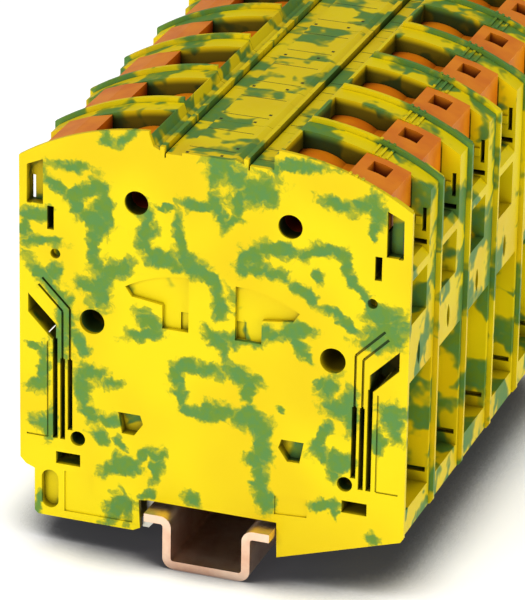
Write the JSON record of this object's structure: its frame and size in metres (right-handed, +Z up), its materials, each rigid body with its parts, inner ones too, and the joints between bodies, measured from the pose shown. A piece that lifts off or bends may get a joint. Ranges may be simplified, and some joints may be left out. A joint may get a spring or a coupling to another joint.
{
  "type": "din rail terminal block",
  "caption": "Row of marbled yellow and green earth terminal blocks on a top-hat rail, each with two orange swing levers and side conductor entries.",
  "frame": {"origin": "middle of the row, on the underside of the rail", "axes": "+X across a block, +Y along the rail away from the front block, +Z up from the rail to the levers"},
  "size_m": [0.1072, 0.1598, 0.1212],
  "materials": {
    "yellow_green_plastic": "moulded yellow plastic marbled with green",
    "orange_plastic": "moulded orange plastic",
    "copper": "rolled copper strip, bare",
    "tinned_copper": "tin plated copper",
    "spring_steel": "bright spring steel",
    "zinc_steel": "zinc plated steel"
  },
  "bodies": {
    "row": {"din_rail": "copper", "earth_screws": "zinc_steel", "front_shell_1": "yellow_green_plastic", "front_shell_2": "yellow_green_plastic", "front_shell_3": "yellow_green_plastic", "front_shell_4": "yellow_green_plastic", "front_shell_5": "yellow_green_plastic", "front_shell_6": "yellow_green_plastic", "rear_shell_1": "yellow_green_plastic", "rear_shell_2": "yellow_green_plastic", "rear_shell_3": "yellow_green_plastic", "rear_shell_4": "yellow_green_plastic", "rear_shell_5": "yellow_green_plastic", "rear_shell_6": "yellow_green_plastic", "current_bar_1": "tinned_copper", "current_bar_2": "tinned_copper", "current_bar_3": "tinned_copper", "current_bar_4": "tinned_copper", "current_bar_5": "tinned_copper", "current_bar_6": "tinned_copper", "clamp_cage_1": "zinc_steel", "clamp_cage_2": "zinc_steel", "clamp_cage_3": "zinc_steel", "clamp_cage_4": "zinc_steel", "clamp_cage_5": "zinc_steel", "clamp_cage_6": "zinc_steel", "clamp_spring_left_1": "spring_steel", "clamp_spring_left_2": "spring_steel", "clamp_spring_left_3": "spring_steel", "clamp_spring_left_4": "spring_steel", "clamp_spring_left_5": "spring_steel", "clamp_spring_left_6": "spring_steel", "clamp_spring_right_1": "spring_steel", "clamp_spring_right_2": "spring_steel", "clamp_spring_right_3": "spring_steel", "clamp_spring_right_4": "spring_steel", "clamp_spring_right_5": "spring_steel", "clamp_spring_right_6": "spring_steel", "rail_foot_1": "tinned_copper", "rail_foot_2": "tinned_copper", "rail_foot_3": "tinned_copper", "rail_foot_4": "tinned_copper", "rail_foot_5": "tinned_copper", "rail_foot_6": "tinned_copper"},
    "lever_left_1": {"lever_left_1": "orange_plastic"},
    "lever_right_1": {"lever_right_1": "orange_plastic"},
    "lever_left_2": {"lever_left_2": "orange_plastic"},
    "lever_right_2": {"lever_right_2": "orange_plastic"},
    "lever_left_3": {"lever_left_3": "orange_plastic"},
    "lever_right_3": {"lever_right_3": "orange_plastic"},
    "lever_left_4": {"lever_left_4": "orange_plastic"},
    "lever_right_4": {"lever_right_4": "orange_plastic"},
    "lever_left_5": {"lever_left_5": "orange_plastic"},
    "lever_right_5": {"lever_right_5": "orange_plastic"},
    "lever_left_6": {"lever_left_6": "orange_plastic"},
    "lever_right_6": {"lever_right_6": "orange_plastic"}
  },
  "joints": [
    {"name": "lever_left_1_hinge", "type": "hinge", "parent": "row", "child": "lever_left_1", "pos_m": [-0.021, -0.06495, 0.1008], "axis": [0, 1, 0], "range_deg": [0, 50]},
    {"name": "lever_right_1_hinge", "type": "hinge", "parent": "row", "child": "lever_right_1", "pos_m": [0.021, -0.06495, 0.1008], "axis": [0, -1, 0], "range_deg": [0, 50]},
    {"name": "lever_left_2_hinge", "type": "hinge", "parent": "row", "child": "lever_left_2", "pos_m": [-0.021, -0.03995, 0.1008], "axis": [0, 1, 0], "range_deg": [0, 50]},
    {"name": "lever_right_2_hinge", "type": "hinge", "parent": "row", "child": "lever_right_2", "pos_m": [0.021, -0.03995, 0.1008], "axis": [0, -1, 0], "range_deg": [0, 50]},
    {"name": "lever_left_3_hinge", "type": "hinge", "parent": "row", "child": "lever_left_3", "pos_m": [-0.021, -0.01495, 0.1008], "axis": [0, 1, 0], "range_deg": [0, 50]},
    {"name": "lever_right_3_hinge", "type": "hinge", "parent": "row", "child": "lever_right_3", "pos_m": [0.021, -0.01495, 0.1008], "axis": [0, -1, 0], "range_deg": [0, 50]},
    {"name": "lever_left_4_hinge", "type": "hinge", "parent": "row", "child": "lever_left_4", "pos_m": [-0.021, 0.01005, 0.1008], "axis": [0, 1, 0], "range_deg": [0, 50]},
    {"name": "lever_right_4_hinge", "type": "hinge", "parent": "row", "child": "lever_right_4", "pos_m": [0.021, 0.01005, 0.1008], "axis": [0, -1, 0], "range_deg": [0, 50]},
    {"name": "lever_left_5_hinge", "type": "hinge", "parent": "row", "child": "lever_left_5", "pos_m": [-0.021, 0.03505, 0.1008], "axis": [0, 1, 0], "range_deg": [0, 50]},
    {"name": "lever_right_5_hinge", "type": "hinge", "parent": "row", "child": "lever_right_5", "pos_m": [0.021, 0.03505, 0.1008], "axis": [0, -1, 0], "range_deg": [0, 50]},
    {"name": "lever_left_6_hinge", "type": "hinge", "parent": "row", "child": "lever_left_6", "pos_m": [-0.021, 0.06005, 0.1008], "axis": [0, 1, 0], "range_deg": [0, 50]},
    {"name": "lever_right_6_hinge", "type": "hinge", "parent": "row", "child": "lever_right_6", "pos_m": [0.021, 0.06005, 0.1008], "axis": [0, -1, 0], "range_deg": [0, 50]}
  ]
}
